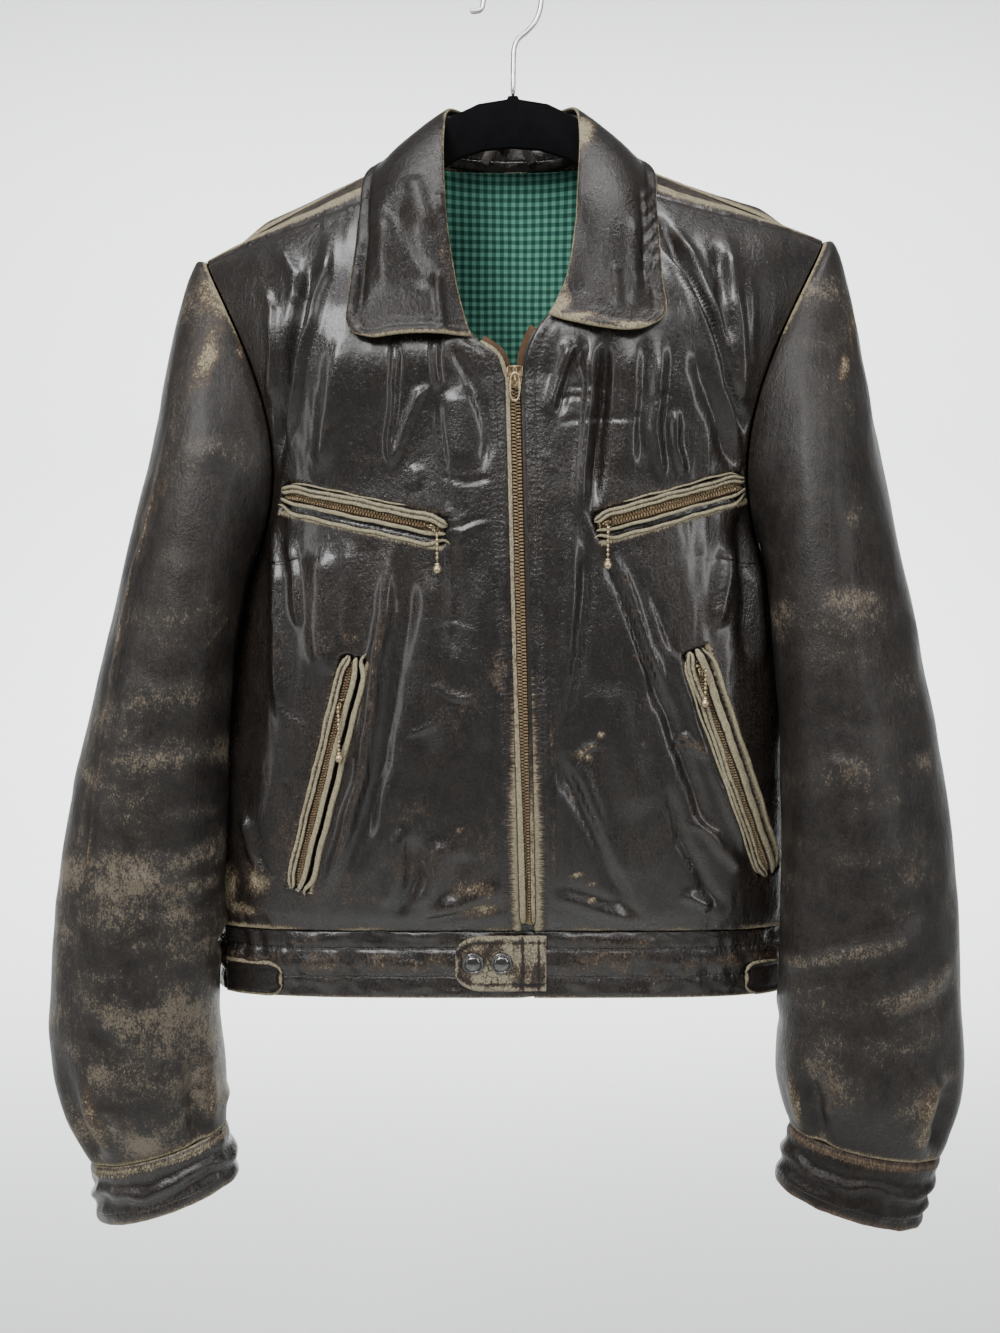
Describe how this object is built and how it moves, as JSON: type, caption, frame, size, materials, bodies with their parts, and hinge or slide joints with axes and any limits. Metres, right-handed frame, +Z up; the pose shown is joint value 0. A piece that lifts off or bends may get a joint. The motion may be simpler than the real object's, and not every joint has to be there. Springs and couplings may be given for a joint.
{
  "type": "waist-length leather jacket on a hanger",
  "caption": "Waist-length zip-front leather jacket with slanted zip pockets, cuffs and a snap waistband, hanging open-necked on a flat hanger by its hook.",
  "frame": {"origin": "inside top of the hanger's wire hook, where it hangs on a rail or knob", "axes": "+X to the right as the jacket's front is faced, +Y from the front to the back, +Z up"},
  "size_m": [0.6157, 0.1754, 0.8374],
  "materials": {
    "leather": "near-black brown hide, polished on the body, dull and scuffed on the sleeves, worn to tan on edges and folds",
    "worn_leather": "the same hide worn through to pale tan",
    "lining_cloth": "small green check cotton",
    "zip_brass": "dull aged brass teeth",
    "zip_tape": "dark brown woven tape",
    "snap_metal": "dark polished caps",
    "hook_wire": "bright wire",
    "hanger_velvet": "flocked black"
  },
  "bodies": {
    "jacket": {"front_left": "leather", "front_right": "leather", "back": "leather", "lining": "lining_cloth", "sleeve_left": "leather", "cuff_left": "leather", "sleeve_right": "leather", "cuff_right": "leather", "collar_fall": "leather", "collar_stand": "leather", "band_front_left": "leather", "band_front_right": "leather", "band_back": "leather", "snap_tab": "worn_leather", "side_tab_left": "leather", "side_tab_right": "leather", "snap_1": "snap_metal", "snap_2": "snap_metal", "hang_loop": "leather", "hanger": "hanger_velvet", "hanger_hook": "hook_wire", "zip_tape_left": "zip_tape", "zip_tape_right": "zip_tape", "zip_chain": "zip_brass", "zip_slider": "zip_brass", "chest_left_welt_a": "leather", "chest_left_welt_b": "leather", "chest_left_zip": "zip_brass", "chest_left_slider": "zip_brass", "chest_right_welt_a": "leather", "chest_right_welt_b": "leather", "chest_right_zip": "zip_brass", "chest_right_slider": "zip_brass", "hand_left_welt_a": "leather", "hand_left_welt_b": "leather", "hand_left_zip": "zip_brass", "hand_left_slider": "zip_brass", "hand_right_welt_a": "leather", "hand_right_welt_b": "leather", "hand_right_zip": "zip_brass", "hand_right_slider": "zip_brass"},
    "zip_pull": {"zip_pull": "zip_brass"},
    "chest_left_pull": {"chest_left_pull": "zip_brass"},
    "chest_right_pull": {"chest_right_pull": "zip_brass"},
    "hand_left_pull": {"hand_left_pull": "zip_brass"},
    "hand_right_pull": {"hand_right_pull": "zip_brass"}
  },
  "joints": [
    {"name": "zip_pull_swing", "type": "hinge", "parent": "jacket", "child": "zip_pull", "pos_m": [0.00105, -0.08474, -0.2627], "axis": [-1, 0, 0], "range_deg": [0, 140]},
    {"name": "chest_left_pull_swing", "type": "hinge", "parent": "jacket", "child": "chest_left_pull", "pos_m": [-0.04687, -0.08834, -0.35899], "axis": [-1, 0, 0], "range_deg": [0, 80]},
    {"name": "chest_right_pull_swing", "type": "hinge", "parent": "jacket", "child": "chest_right_pull", "pos_m": [0.05865, -0.08773, -0.35428], "axis": [-1, 0, 0], "range_deg": [0, 80]},
    {"name": "hand_left_pull_swing", "type": "hinge", "parent": "jacket", "child": "hand_left_pull", "pos_m": [-0.11078, -0.07915, -0.46795], "axis": [-1, 0, 0], "range_deg": [0, 80]},
    {"name": "hand_right_pull_swing", "type": "hinge", "parent": "jacket", "child": "hand_right_pull", "pos_m": [0.12259, -0.07629, -0.44496], "axis": [-1, 0, 0], "range_deg": [0, 80]}
  ]
}
